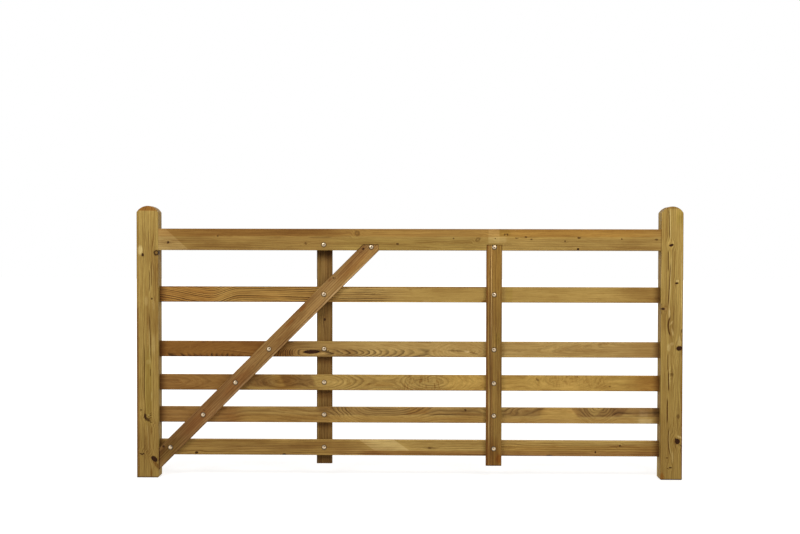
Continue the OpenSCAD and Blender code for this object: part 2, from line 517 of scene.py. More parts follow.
timber("top_rail", {}, heart=(-0.06, 0.1), lean=(0.006, 0.01), seed=7.7, rings=0.35,
       pale=rgb(173, 141, 75), streak=0.45, fibre=0.45)
knot(44, 35, 5.5, 0.95, 0.7)
knot(263, 63, 3.6, 0.7, 1.2, 20)
knot(650, 30, 6.1, 0.35, 0.7, 30, 1)
knot(877, 76, 11, 0.35, 1, 20, 1.2, hollow=True)
knot(1054, 29, 4, 0.7, 1.4)
knot(1299, 53, 3, 0.75, 1.2)
knot(1406, 49, 7.5, 0.35, 1.5, 30, 1, hollow=True)
knot(1482, 54, 3, 0.95, 0.7, 30)
knot(1523, 71, 4, 0.6, 0.8)
knot(1535, 70, 4.3, 0.7, 0.8)
knot(1576, 55, 2.5, 0.55, 3)
knot(1616, 60, 4.3, 0.6, 0.9)
knot(1640, 50, 2.6, 0.75, 1.6)
knot(1787, 42, 3.2, 0.95, 0.9)
knot(1848, 57, 4, 0.75, 1.8)
knot(1844, 8, 4.7, 1, 1)
knot(2035, 52, 2.6, 0.85)
knot(2186, 50, 3.6, 0.65, 2)
knot(520, 55, 12, 0.8, back=True)
knot(1250, 30, 10, 0.8, back=True)
knot(1950, 60, 11, 0.8, back=True)
line(656, 770, 57.5, 3.2, "dark", 0.4)
line(1560, 1680, 59, 1.4, "dark", 0.45)
line(1720, 1980, 64, 1.2, "dark", 0.35)
line(2000, 2190, 61, 1.2, "dark", 0.5)
line(1515, 1560, 26, 2.2, "dark", 0.4)
mark(None, None, "orange", 0.48, 61, edge=3, wander=6)
mark(None, None, "brown", 0.35, 86, edge=6, wander=3)
mark(200, 780, "brown", 0.4, 63, soft=100, edge=3, wander=6)
mark(1500, 2150, "golden", 0.9, 55, soft=100, edge=10)
mark(0, 780, "brown", 0.42, soft=80)
mark(None, 137, "cream", 0.5, soft=2.5, slant=1.116)
mark(150, 400, "brown", 0.35, 12, 30, soft=30, edge=5, wander=4)
mark(210, 420, "pale", 0.5, 46, 61, soft=40, edge=3, wander=4)
mark(780, 1440, "olive", 0.35, high=55, soft=80, edge=10)
mark(480, 1440, "brown", 0.2, 28, 40, soft=100, edge=6, wander=6)
mark(1452, 1500, "cream", 0.4, 34, soft=3)
mark(1500, 1545, "olive", 0.7, 62, soft=3, edge=3, wander=10)
mark(1500, 1530, "cream", 0.3, 36, 62, soft=6, edge=3)
mark(1515, 2208, "brown", 0.18, high=55, soft=20, edge=10)
mark(1600, 2208, "pale", 0.35, 8, 16, soft=50, edge=3, wander=4)
mark(2204, None, "dark", 0.35, soft=2)

timber("rail_2", railTones, heart=(-0.03, 0.05), seed=2.2, ringGap=0.0068, rings=1.0, wave=0.0045,
       pale=rgb(190, 155, 88), deep=rgb(66, 38, 8))
roll(-20, 255, 0, -40)
roll(220, 360, 0, 36)
roll(330, 1000, 0, -10)
knot(1125, 68, 7, 0, 3, 0, 1.4)
knot(950, 35, 6, 0.8, back=True)
patch(1435, 6, 12, 5, "brown", 0.9)
patch(1110, 56, 8, 3, "brown", 0.6)
patch(1180, 5, 20, 4, "cream", 0.5)
mark(1050, None, "calm", 0.9, soft=150)
mark(None, 250, "orange", 0.45, soft=30)
mark(None, 780, "ochre", 0.8, soft=60)
mark(1050, None, "olive", 0.45, soft=150)
mark(1050, None, "brown", 0.15, soft=150)
mark(300, 780, "brown", 0.15, soft=60)
mark(None, 1440, "brown", 0.7, 64.5, wander=2)
# painted shade along the lower edge
mark(None, 900, "brown", 0.7, high=3.5)
mark(1530, 1560, "olive", 0.5)
mark(2060, None, "brown", 0.4, soft=80)

timber("rail_3", railTones, heart=(0.02, 0.11), seed=5.9, ringGap=0.0042, rings=1.0, wave=0.003,
       pale=rgb(187, 153, 89), deep=rgb(56, 32, 6))
roll(0, 500, -60, -22)
roll(460, 600, 0, 22)
roll(480, 640, -45, 0)
roll(700, 1200, 52, 2)
roll(1180, 1340, -30, 10)
roll(1340, 1460, 20, -8)
roll(1620, 2120, -20, 40)
knot(674, 22.5, 8.5, 1, 4.4, 2)
knot(1750, 45, 8, 0.7, back=True)
patch(1310, 29, 38, 5, "dark", 0.5, -3)
patch(1390, 19, 20, 3.5, "dark", 0.5, -14)
patch(1185, 26, 12, 3.5, "dark", 0.35, 20)
patch(1360, 25, 14, 4, "cream", 0.5, -10)
patch(765, 19, 12, 6, "dark", 0.4)
patch(560, 18, 40, 15, "brown", 0.6)
patch(135, 42, 3, 6, "cream", 0.5)
patch(725, 20, 10, 8, "pale", 0.6)
line(260, 430, 31, 2, "dark", 0.55, -18, -1)
line(310, 440, 30, 1.8, "cream", 0.4, -10)
line(30, 130, 6.5, 2.2, "dark", 0.6, 0, -3)
line(110, 230, 6.5, 2.6, "dark", 0.7, 0, -3)
line(230, 330, 8.5, 2.4, "dark", 0.6, 0, -3)
line(320, 460, 5, 1.8, "dark", 0.5)
line(740, 1440, 3.5, 1.8, "dark", 0.5)
mark(700, 1440, "calm", 0.85, 34, soft=60, edge=8, wander=4)
mark(760, 1190, "calm", 0.18, soft=30)
mark(1190, 1440, "calm", 0.8, soft=40)
mark(1440, None, "calm", 0.78, soft=40)
mark(None, 500, "calm", 0.9, 14, edge=6, wander=4)
mark(None, 600, "brown", 0.85, soft=120)
mark(None, 500, "grey", 0.2, soft=100)
mark(None, 550, "ochre", 0.95, soft=120)
mark(450, 860, "brown", 0.35, soft=120)
mark(680, 1440, "olive", 0.6, 64)
mark(2060, None, "brown", 0.4, soft=70)

timber("rail_4", railTones, heart=(0.04, 0.03), seed=8.4, ringGap=0.0058, rings=0.5, wave=0.0045)
roll(50, 280, 22, 0)
roll(300, 600, -40, 0)
roll(640, 980, 50, 0)
roll(1020, 1200, -35, 0)
roll(1200, 1450, 50, 0)
roll(1600, 1800, -40, 20)
roll(1800, 2000, 40, 0)
knot(645, 46, 16, 0, 2.8, 15, 1.2)
knot(1167, 60, 8, 0, 2, 0, 1.2)
knot(1775, 62, 10, 0, 2, 0, 1.2)
knot(1672, 50, 4, 0.45, 2.4, -40)
knot(1990, 22, 3, 0.45, 1.6)
knot(450, 30, 7, 0.8, back=True)
mark(None, 330, "calm", 0.4, soft=30)
mark(1260, None, "calm", 0.55, soft=50)
mark(None, 330, "russet", 0.85, soft=50)
mark(330, 520, "grey", 0.95, 16, soft=50, edge=6, slant=0.5, wander=10)
mark(520, 600, "ochre", 0.8, soft=30)
mark(565, 705, "grey", 0.85, 18, soft=12, edge=5, slant=0.5, wander=10)
mark(330, 720, "brown", 0.35, high=16, soft=30, edge=5)
mark(720, 1060, "ochre", 0.15, soft=60)
mark(750, 1440, "pale", 0.25, soft=60)
mark(1075, 1250, "torn", 0.8, 6, soft=20, edge=10, wander=12)
mark(1720, 1980, "torn", 0.45, 20, soft=50, edge=10, wander=12)
mark(1260, None, "golden", 0.9, soft=50)
mark(1090, 1135, "pale", 0.5, 2, 26, soft=6, edge=3, wander=8)
mark(1770, 1850, "pale", 0.5, 6, 45, soft=20, edge=10, wander=10)
# painted shade along the lower edge
mark(None, 1440, "brown", 0.5, high=3)
mark(2100, None, "orange", 0.35, soft=50)
mark(2100, None, "brown", 0.4, soft=60)

timber("rail_5", railTones, heart=(0.082, 0.105), seed=3.6, ringGap=0.0085, rings=0.75, wave=0.0035,
       pale=rgb(184, 150, 84), deep=rgb(80, 50, 16))
roll(250, 420, 0, 20)
roll(480, 700, 0, -20)
roll(730, 970, -95, 0)
roll(1020, 1240, 50, 0)
roll(1380, 1520, -20, 0)
roll(1520, 1700, 34, 0)
roll(1850, 1940, -40, -10)
roll(1940, 2030, 34, 10)
knot(1354, 58, 4.8, 0.75, 1)
knot(1941, 43, 7, 0, 2, 0, 1.4)
knot(1590, 62, 10, 0, 2.4, 0, 1.2)
knot(800, 30, 8, 0.75, back=True)
mark(None, 740, "calm", 0.5, soft=40)
mark(700, None, "calm", 0.75, high=32, edge=6, wander=6)
mark(1700, 1860, "calm", 0.8, soft=20)
mark(None, 360, "russet", 0.75, soft=40)
mark(240, 740, "brown", 0.3, soft=50)
mark(300, 720, "ochre", 0.5, high=35, soft=40, edge=6, wander=6)
mark(745, 1460, "grey", 0.5, 35, soft=15, edge=3, slant=0.7, wander=12)
mark(780, 1460, "dark", 0.25, 33, 36.5, soft=30, edge=1.5, wander=12)
mark(1080, 1170, "ochre", 0.8, 36, soft=20, edge=3, slant=-0.4, wander=10)
mark(740, 1460, "ochre", 0.5, high=30, soft=30, edge=6)
mark(1500, 1665, "grey", 0.65, 35, soft=10, edge=3, slant=-0.5, wander=12)
mark(1500, 1645, "dark", 0.3, 33, 37, soft=10, edge=1.5, wander=12)
mark(1680, 1860, "golden", 0.7, 20, soft=20, edge=6)
mark(1875, 1945, "grey", 0.75, 30, soft=8, edge=4, slant=0.8, wander=8)
mark(1900, 2010, "grey", 0.7, 30, soft=8, edge=4, slant=-0.9, wander=8)
mark(2000, 2200, "grey", 0.75, 36, soft=12, edge=4, wander=10)
mark(2120, 2160, "cream", 0.35, 30, 62, soft=8, edge=4, wander=10)
mark(2120, 2180, "cream", 0.5, 4, 24, soft=10, edge=3, wander=10)
mark(1500, 2100, "orange", 0.25, high=22, soft=30, edge=6, wander=6)
mark(1800, 1850, "pale", 0.6, 44, 62, soft=8, edge=4, wander=12)
mark(2180, 2300, "dark", 0.5, 38, soft=10, edge=4)

timber("rail_6", railTones, heart=(-0.045, 0.05), lean=(0.006, 0.01), seed=6.5, rings=0.7)
knot(22, 43, 6, 0.95, 1.8, 30)
knot(163, 10, 5.5, 0.95)
knot(553, 3, 4.5, 0.9, 1.6)
knot(1197, 34, 4.2, 0.35, 1.6)
knot(1928, 19, 4.8, 0.95, 0.7)
knot(2036, 48, 3, 0.85, 1.4, 30)
knot(1725, 4, 3, 0.7, 4)
knot(1550, 40, 9, 0.8, back=True)
line(1960, 2120, 47, 2.6, "russet", 0.9)
line(1985, 2060, 43, 2, "dark", 0.5)
mark(None, None, "pale", 0.35)
mark(None, 880, "brown", 0.48, soft=100)
mark(260, 660, "grey", 0.35, 22, 46, soft=60, edge=6, wander=6)
mark(600, 920, "brown", 0.35, 30, 60, soft=60, edge=10, wander=6)
mark(985, 1140, "cream", 0.45, 22.5, soft=3, slant=1.45)
mark(900, None, "russet", 0.75, high=21, soft=40, edge=3, wander=4)
mark(760, 1000, "russet", 0.35, 4, 30, soft=50, edge=5, wander=4)
mark(1500, None, "ochre", 0.6, 20, 48, soft=30, edge=4, wander=6)
mark(1500, 2150, "pale", 0.5, 56, soft=30, edge=4, wander=4)
mark(1600, 2200, "brown", 0.35, 30, 36, soft=60, edge=3, wander=6)
mark(2100, None, "brown", 0.4, soft=50)

timber("diagonal_brace", braceTones, turn=45, heart=(-0.05, 0.08), lean=(0.01, 0.0), seed=9.2,
       pale=rgb(162, 126, 73), deep=rgb(92, 60, 28), rings=0.6, blotch=0.6)
knot(88, 59, 5.5, 0.9, 0.9)
knot(330, 44, 1.6, 0.5, 4, -75)
knot(1148, 55.5, 3.2, 0.8, 1.3, -40)
knot(1331, 54, 4.5)
knot(620, 30, 8, 0.8, back=True)
patch(100, 30, 70, 30, "olive", 0.7)
patch(60, 48, 40, 12, "brown", 0.6)
patch(140, 46, 20, 5, "brown", 0.5)
patch(270, 35, 90, 22, "orange", 0.5)
patch(520, 30, 100, 20, "orange", 0.4)
patch(870, 52, 35, 6, "orange", 0.8)
patch(955, 56, 22, 7, "orange", 0.8)
patch(1130, 61, 12, 6, "russet", 0.7)
patch(1250, 40, 100, 24, "orange", 0.45)
line(20, 310, 3, 3, "pale", 0.6)
line(270, 1410, 4.8, 4, "cream", 0.75)
line(200, 1410, 10.5, 1.6, "dark", 0.35)
mark(None, 260, "grey", 0.5, soft=100)
mark(None, 200, "olive", 0.4, soft=50)
mark(160, 600, "russet", 0.55, soft=120)
mark(600, 1050, "ochre", 0.35, soft=100)
mark(1150, 2000, "golden", 0.8, 0, 34, soft=100, edge=10)
# painted contact shadow along the brace's foot, where it meets the stile
mark(None, 5, "dark", 0.85, soft=3, slant=-1)

timber("front_upright", braceTones, turn=90, heart=(0.115, 0.045), lean=(0.006, 0.0), seed=0.4)
knot(550, 30, 8, 0.8, back=True)
patch(30, 12, 22, 15, "orange", 1)
patch(190, 42, 110, 3, "pale", 0.7)
patch(560, 20, 30, 12, "olive", 0.7)
line(-80, 660, 48, 2.4, "dark", 0.6, -3, 4)
line(50, 380, 54.5, 2.6, "cream", 0.8, -4, 3)
line(350, 1050, 50, 2.8, "cream", 0.85, -2, -2)
line(380, 1050, 56, 2.6, "dark", 0.6, -2, -2)
line(-80, 220, 36.5, 1.8, "dark", 0.45)
line(540, 780, 44, 2, "dark", 0.55)
line(600, 760, 37, 1.5, "dark", 0.45)
line(600, 760, 40.3, 1.4, "cream", 0.5)
line(180, 1050, 4.5, 1.8, "dark", 0.5)
mark(None, 2000, "brown", 0.9, 60.5, edge=2.5, wander=3)
mark(700, 2000, "golden", 0.8, soft=150)
mark(None, 2000, "olive", 0.5, 0, 40, edge=6, wander=4)
mark(None, 100, "orange", 0.45, soft=50)
# painted shade along the bottom edge of the foot
mark(None, 4, "dark", 0.6, soft=3)

timber("rear_upright", {}, turn=90, heart=(0.11, 0.045), lean=(0.004, 0.0), seed=2.9,
       pale=rgb(142, 110, 58), deep=rgb(80, 53, 21), streak=0.75, fibre=0.8)
knot(640, 34, 4.8, 0.95)
knot(360, 30, 9, 0.8, back=True)
mark(None, 2000, "olive", 0.5, 52, edge=4, wander=3)
mark(None, 2000, "brown", 0.25, 0, 34, edge=4, wander=4)
mark(None, 40, "dark", 0.55, soft=5)
# painted shade under the lower rails, and a painted shadow below the top rail
mark(155, 185, "brown", 0.5, soft=10)
mark(290, 330, "brown", 0.7, soft=12)
mark(445, 480, "brown", 0.6, soft=10)
mark(915, 2000, "dark", 0.7, soft=34)

# a dark ring round a bolt head, by its half width in metres
boltSeat = {"size": 0.0118, "stretch": 1.0, "turn": 0, "tint": "dark", "amount": 0.75, "back": False}

knotStops = [
    (0.00, rgb(38, 18, 3)),
    (0.35, rgb(62, 32, 8)),
    (0.62, rgb(52, 26, 5)),
    (0.86, rgb(28, 12, 2)),
    (1.00, rgb(60, 32, 8)),
]


class Board:
    # one timber's shader, with wires for a point's place on the timber
    def __init__(self, node):
        self.wood = timbers[node]
        self.material, self.sheet = newMaterial(node + "_wood")
        low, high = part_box(node)
        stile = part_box("hanging_stile")[1]
        self.thick = high.y - low.y
        self.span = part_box("closing_stile")[0].x - stile.x
        turn = math.radians(self.wood["turn"])
        cos, sin = math.cos(turn), math.sin(turn)
        corner = high.x if self.wood["turn"] == 90 else stile.x

        def laid(x, z):
            # a place on the gate as a place along and across this timber
            x, z = x - corner, z - low.z
            return x * cos + z * sin, z * cos - x * sin

        x, y, z = self.parts("Object")
        self.along, self.across = laid(x, z)
        self.behind = y - low.y
        self.seats = [
            laid(x, z) for name, x, z, headFace, nutFace in places
            if abs(headFace - low.y) < 0.0001 and low.x < x < high.x and low.z < z < high.z
        ]
        self.spot = self.sheet.point(self.along, self.across, self.behind)
        x, y, z = self.parts("Normal")
        inward = 1 if low.x + high.x < cadBox[1].x else -1
        self.innerSideShade = self.sheet.step(x * inward, 0.6, 0.9)
        self.endGrain = self.sheet.step(abs(x * cos + z * sin), 0.45, 0.85)
        self.front = self.sheet.step(y, -0.2, -0.6)
        self.wobble = self.noise(9.0, 6.0, 0.0, 3.0, 0.65) - 0.5

    def parts(self, output):
        place = self.sheet.add("TexCoord", output=output)
        return [self.sheet.add("SeparateXYZ", sockets=(place,), output=axis) for axis in "XYZ"]

    def noise(self, perAlong, perAcross, perBehind, detail, rough=0.5, shift=0.0):
        # noise with so many waves to a metre each way
        wood = self.wood
        point = self.sheet.point(self.along * perAlong, self.across * perAcross + shift,
                                 self.behind * perBehind + wood["seed"])
        return self.sheet.noise(point, 1.0, detail, rough)

    def tint(self, colour, factor, name):
        return self.sheet.mix(factor, colour, (*tints[name], 1), "MULTIPLY")


def addOval(board, oval, depth):
    # distance from an oval's middle, 1 at its rim, and its parts along, across and inwards
    sheet = board.sheet
    centre = (oval["along"], oval["across"], board.thick if oval["back"] else 0.0)
    off = sheet.vector("SUBTRACT", board.rough, centre)
    turn = math.radians(oval["turn"])
    cos, sin = math.cos(turn) / oval["size"], math.sin(turn) / oval["size"]
    long = oval["stretch"]
    ahead = sheet.vector("DOT_PRODUCT", off, (cos / long, sin / long, 0), output="Value")
    aside = sheet.vector("DOT_PRODUCT", off, (-sin, cos, 0), output="Value")
    inward = sheet.vector("DOT_PRODUCT", off, (0, 0, 1 / depth), output="Value")
    away = sheet.vector("LENGTH", sheet.point(ahead, aside, inward), output="Value")
    return away, ahead, aside, inward


def addKnots(board):
    # each knot is a cone that narrows inwards from the face it shows on
    sheet, ragged = board.sheet, 0.0045
    roughAlong = board.along + board.noise(170.0, 170.0, 170.0, 1.0, shift=7.0) * ragged
    roughAcross = board.across + board.noise(170.0, 170.0, 170.0, 1.0, shift=9.0) * ragged
    board.rough = sheet.point(roughAlong - ragged / 2, roughAcross - ragged / 2, board.behind)
    board.parting = 0.0
    board.lump = 0.0
    board.heart = 0.0
    board.nearest = 9.0
    for k in board.wood["knots"]:
        away, ahead, aside, inward = addOval(board, k, min(0.030 + k["size"], board.thick * 0.85))
        if k["dark"]:
            # the grain parts round a longer oval
            wide = sheet.vector("LENGTH", sheet.point(ahead * 0.4, aside, inward), output="Value")
            spot = sheet.step(away, 1.15, 0.85, k["dark"])
            if k["hollow"]:
                spot = spot * sheet.step(away, 0.2, 0.7)
            board.heart = spot.math("MAXIMUM", board.heart)
            board.nearest = away.math("MINIMUM", board.nearest)
            board.parting = sheet.step(wide, 3.4, 0.6, 0.8 * k["size"]) * aside + board.parting
        if k["swirl"]:
            board.lump = sheet.step(away, 3.0, 0.0, k["size"] * k["swirl"]) + board.lump


def addRings(board):
    # growth rings round the pith; board.layer is how far out from it the wood grew
    sheet, wood = board.sheet, board.wood
    slow = board.noise(0.9, 4.0, 4.0, 1.0)
    waver = board.noise(13.0, 24.0, 24.0, 2.0, shift=3.0)
    jitter = board.noise(60.0, 120.0, 120.0, 1.0, shift=5.0)
    ripple = (slow - 0.5) * (wood["wave"] * 3) + (waver - 0.5) * wood["wave"] + (jitter - 0.5) * 0.0012
    pithAcross, pithBehind = wood["heart"]
    leanAcross, leanBehind = wood["lean"]
    aside = board.along * leanAcross + pithAcross
    sink = board.along * leanBehind + pithBehind
    for r in wood["rolls"]:
        sink = sink + sheet.step(board.along, r["start"], r["end"], r["deeper"])
        aside = aside + sheet.step(board.along, r["start"], r["end"], r["aside"])
    offset = sheet.point(board.across - board.parting - aside, sink - board.behind, 0.0)
    radius = sheet.vector("LENGTH", offset, output="Value")
    board.layer = radius + ripple + board.lump
    phase = board.layer * (1 / wood["ringGap"])
    ring = phase.math("FRACT")
    year = sheet.add("TexWhiteNoise", {"noise_dimensions": "1D"},
                     {"W": phase.math("FLOOR") + wood["seed"]}, "Value")
    press = sheet.noise(sheet.point(board.along * 5.0, board.layer * 60.0, wood["seed"]), 1.0, 1.0)
    strength = (year * 0.5 + 0.5) * sheet.step(press, 0.20, 0.52)
    board.late = sheet.step(ring, 0.30, 0.85) * sheet.step(ring, 1.0, 0.92) * strength


def markMask(board, m):
    sheet = board.sheet
    place = board.along + board.across * m["slant"] if m["slant"] else board.along
    side = board.across
    if m["wander"]:
        place = place + board.wobble * (m["wander"] * 2)
        side = side + board.wobble * (m["wander"] * 2)
    mask = board.front * m["amount"]
    bounds = [(place, m["start"], m["soft"]), (place, m["end"], -m["soft"]),
              (side, m["low"], m["edge"]), (side, m["high"], -m["edge"])]
    for value, bound, blur in bounds:
        if bound is not None:
            mask = mask * sheet.step(value, bound - blur, bound + blur)
    return mask


def woodColour(board):
    # streaks, fibres and resin ducts follow the rings; blotches of preservative don't
    sheet, wood = board.sheet, board.wood
    along, across, layer, seed = board.along, board.across, board.layer, wood["seed"]
    calm = 1.0
    for m in wood["marks"]:
        if m["tint"] == "calm":
            calm = (1 - markMask(board, m)) * calm
    board.late = board.late * calm
    drawn = (calm * 0.65 + 0.35) * wood["streak"]
    streak = sheet.noise(sheet.point(along * 1.6, layer * 110.0, across * 26.0 + seed), 1.0, 3.0, 0.65)
    fibre = sheet.noise(sheet.point(along * 9.0, layer * 360.0, across * 90.0 + seed), 1.0, 3.0, 0.65)
    hair = sheet.noise(sheet.point(along * 30.0, layer * 1500.0, across * 500.0 + seed), 1.0, 2.0)
    blotch = board.noise(5.0, 22.0, 22.0, 3.0)
    board.fibre, board.hair = fibre, hair
    colour = sheet.mix(board.late * wood["rings"], (*wood["pale"], 1), (*wood["deep"], 1))
    colour = board.tint(colour, sheet.step(blotch, 0.48, 0.72, wood["blotch"]), "brown")
    colour = board.tint(colour, sheet.step(blotch, 0.52, 0.30, wood["blotch"]), "pale")
    colour = board.tint(colour, sheet.step(streak, 0.48, 0.74, drawn), "brown")
    colour = board.tint(colour, sheet.step(streak, 0.50, 0.26, drawn), "pale")
    colour = board.tint(colour, sheet.step(fibre, 0.48, 0.74, wood["fibre"]), "brown")
    colour = board.tint(colour, sheet.step(fibre, 0.50, 0.28, wood["fibre"]), "pale")
    return board.tint(colour, sheet.step(hair, 0.52, 0.70, wood["fibre"] * 0.8), "brown")


def addMarks(board, colour):
    sheet = board.sheet
    torn = None
    for m in board.wood["marks"]:
        mask = markMask(board, m) if m["tint"] != "calm" else None
        if m["tint"] == "torn":
            # short dark nicks across the grain, where the plane tore it
            torn = torn or sheet.step(board.noise(150.0, 40.0, 0.0, 2.0), 0.50, 0.66)
            colour = board.tint(colour, mask * torn, "brown")
        elif mask:
            colour = board.tint(colour, mask, m["tint"])
    return colour


def addPatches(board, colour):
    # a dark ring goes round each bolt head as well
    seats = [{**boltSeat, "along": along, "across": across} for along, across in board.seats]
    for p in board.wood["patches"] + seats:
        away = addOval(board, p, 1.0)[0]
        mask = board.sheet.step(away, 1.25, 0.55, p["amount"]) * board.front
        colour = board.tint(colour, mask, p["tint"])
    return colour


def addLines(board, colour):
    sheet = board.sheet
    board.depth = 0.0
    for n in board.wood["lines"]:
        part = (board.along - n["start"]) * (1 / (n["end"] - n["start"]))
        centre = part * n["rise"] + board.wobble * 0.003 + n["across"]
        if n["bow"]:
            centre = centre + part * (1 - part) * (4 * n["bow"])
        taper = sheet.step(part, 0.0, 0.2) * sheet.step(part, 1.0, 0.8) * board.front
        off = abs(board.across - centre)
        mask = sheet.step(off, n["wide"], n["wide"] * 0.3, n["amount"]) * taper
        colour = board.tint(colour, mask, n["tint"])
        if n["tint"] == "dark":
            board.depth = mask + board.depth
    return colour


def timberMaterial(node):
    board = Board(node)
    sheet, wood = board.sheet, board.wood
    addKnots(board)
    addRings(board)
    colour = addMarks(board, woodColour(board))
    colour = addPatches(board, colour)
    colour = addLines(board, colour)
    if wood["knots"]:
        rim = sheet.step(board.nearest, 1.5, 1.05, 0.4)
        colour = board.tint(colour, rim, "brown")
        shade = sheet.add("ValToRGB", {"stops": knotStops}, (board.nearest,), "Color")
        colour = sheet.mix(board.heart, colour, shade)
    if wood["cornerShade"]:
        # painted shade in the corners where a rail enters the stiles
        near = board.along.math("MINIMUM", board.span - board.along)
        colour = board.tint(colour, sheet.step(near, wood["cornerShade"], 0.0, 0.75), "dark")
    # painted shade: the inner sides of the upright timbers are darkened
    if wood["turn"] == 90:
        colour = board.tint(colour, board.innerSideShade, "paintedShade")
    # the sawn ends drank more preservative
    colour = board.tint(colour, board.endGrain * 0.85, "soaked")

    relief = board.late * 0.6 + board.fibre * 0.4 + board.hair * 0.25 - board.depth * 3.0
    bump = addBump(sheet, relief, 0.35, 0.0006)
    rough = board.late * -0.08 + board.fibre * 0.12 + 0.64
    finish = {"Base Color": colour, "Roughness": rough, "Normal": bump, "Specular IOR Level": 0.12}
    endWith(sheet, "BsdfPrincipled", finish)
    return board.material


for node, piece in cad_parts.items():
    material = timberMaterial(node)
    piece.data.materials.clear()
    piece.data.materials.append(material)
print("timber finished")


# Coach bolts through every crossing: domed heads in front, washers and nuts behind.

bolt = {
    "thread": 0.0080,            # lengths are in metres
    "headWide": 0.0205,
    "headHigh": 0.0050,
    "rim": 0.0010,
    "domeRings": 5,
    "sides": 32,
    "pitch": 0.00125,
    "washerWide": 0.0185,
    "washerThick": 0.0016,
    "nutWide": 0.0130,           # across the flats
    "nutHigh": 0.0064,
    "stub": 0.0022,              # thread left standing out of the nut
    "root": 0.86,                # the thread's root as a share of its crest
    "washerPlay": 0.0006,        # how much wider the washer's bore is than the thread
    "nutBore": 1.02,             # the nut's bore as a share of the thread
    "nutCone": 1.01,             # the cone that trims its corners, as a share of their width
    "nutChamfer": 0.0013,
    "washerEdge": 0.0003,
    "nutEdge": 0.00025,
    "merge": 0.00002,            # points nearer together than this become one
    "turnEach": 37,              # degrees from one bolt to the next
    "smooth": 32,                # degrees between faces that still shade as one
}

zincTones = {
    "bright": (0.88, 0.69, 0.46, 1),
    "warm": (0.60, 0.45, 0.29, 1),
    "shadowTone": (0.26, 0.20, 0.12, 1),
    "darkRim": (0.085, 0.060, 0.034, 1),
}

acrossY = (math.radians(90), 0, 0)


def deselect():
    for piece in bpy.context.selected_objects:
        piece.select_set(False)


def editMesh(piece, mode="FACE"):
    # opens one piece in edit mode with nothing selected
    bpy.context.view_layer.objects.active = piece
    bpy.ops.object.mode_set(mode="EDIT")
    bpy.ops.mesh.select_mode(type=mode)
    bpy.ops.mesh.select_all(action="DESELECT")
    return bmesh.from_edit_mesh(piece.data)


def pick(piece, mesh, test):
    # selects the faces whose middle and normal pass a test
    for face in mesh.faces:
        face.select_set(test(face.calc_center_median(), face.normal))
    mesh.select_flush_mode()
    bmesh.update_edit_mesh(piece.data)


def movePoints(piece, test, y):
    # moves the points that pass a test along Y
    mesh = editMesh(piece, "VERT")
    for point in mesh.verts:
        point.select_set(test(point.co))
    mesh.select_flush_mode()
    bmesh.update_edit_mesh(piece.data)
    bpy.ops.transform.translate(value=(0, y, 0))


def leaveEdit():
    bpy.ops.object.mode_set(mode="OBJECT")


def settle(piece):
    # puts the piece's place and turn into its mesh
    deselect()
    piece.select_set(True)
    bpy.context.view_layer.objects.active = piece
    bpy.ops.object.transform_apply(location=True, rotation=True, scale=True)


def cutWith(piece, tool, operation):
    # applies a Boolean with another piece, then removes that piece
    bpy.context.view_layer.objects.active = piece
    cut = piece.modifiers.new("cut", "BOOLEAN")
    cut.operation = operation
    cut.solver = "EXACT"
    cut.object = tool
    bpy.ops.object.modifier_apply(modifier="cut")
    bpy.data.objects.remove(tool)


def addRound(name, width, length, y, sides):
    # a cylinder along Y that starts at y
    deselect()
    bpy.ops.mesh.primitive_cylinder_add(vertices=sides, radius=width / 2, depth=length,
                                        location=(0, y + length / 2, 0), rotation=acrossY)
    piece = bpy.context.object
    piece.name = name
    settle(piece)
    return piece


def modelBolt(size, reach):
    # the head's bearing face is at y = 0 and the shank runs to y = reach
    piece = addRound("bolt", size["headWide"], size["rim"], -size["rim"], size["sides"])
    mesh = editMesh(piece)
    pick(piece, mesh, lambda middle, normal: normal.y < -0.9)
    turn = math.pi / 2 / size["domeRings"]
    radius = size["headWide"] / 2
    dome = size["headHigh"] - size["rim"]
    for i in range(size["domeRings"] - 1):
        inward = radius * (math.cos(i * turn) - math.cos((i + 1) * turn))
        upward = dome * (math.sin((i + 1) * turn) - math.sin(i * turn))
        bpy.ops.mesh.inset(thickness=inward)
        bpy.ops.transform.translate(value=(0, -upward, 0))
    bpy.ops.mesh.poke()
    tip = dome * (1 - math.sin((size["domeRings"] - 1) * turn))
    movePoints(piece, lambda place: place.y < 0 and place.xz.length < 0.0001, -tip)
    mesh = editMesh(piece)
    pick(piece, mesh, lambda middle, normal: normal.y > 0.9)
    bpy.ops.mesh.inset(thickness=radius - size["thread"] / 2)
    threads = round(4 * size["stub"] / size["pitch"])
    shank = {"value": (0, reach - threads * size["pitch"], 0)}
    bpy.ops.mesh.extrude_region_move(TRANSFORM_OT_translate=shank)
    for i in range(threads):
        for wide, deep in ((size["root"], 0.35), (1 / size["root"], 0.45), (1.0, 0.20)):
            move = {"value": (0, size["pitch"] * deep, 0)}
            bpy.ops.mesh.extrude_region_move(TRANSFORM_OT_translate=move)
            bpy.ops.transform.resize(value=(wide, 1, wide))
    bpy.ops.transform.resize(value=(size["root"], 1, size["root"]))
    leaveEdit()
    return piece


def modelWasher(size):
    thick, sides = size["washerThick"], size["sides"]
    piece = addRound("washer", size["washerWide"], thick, 0, sides)
    bore = addRound("bore", size["thread"] + size["washerPlay"], thick * 3, -thick, sides)
    cutWith(piece, bore, "DIFFERENCE")
    roundEdges(piece, size["washerEdge"], size["merge"])
    return piece


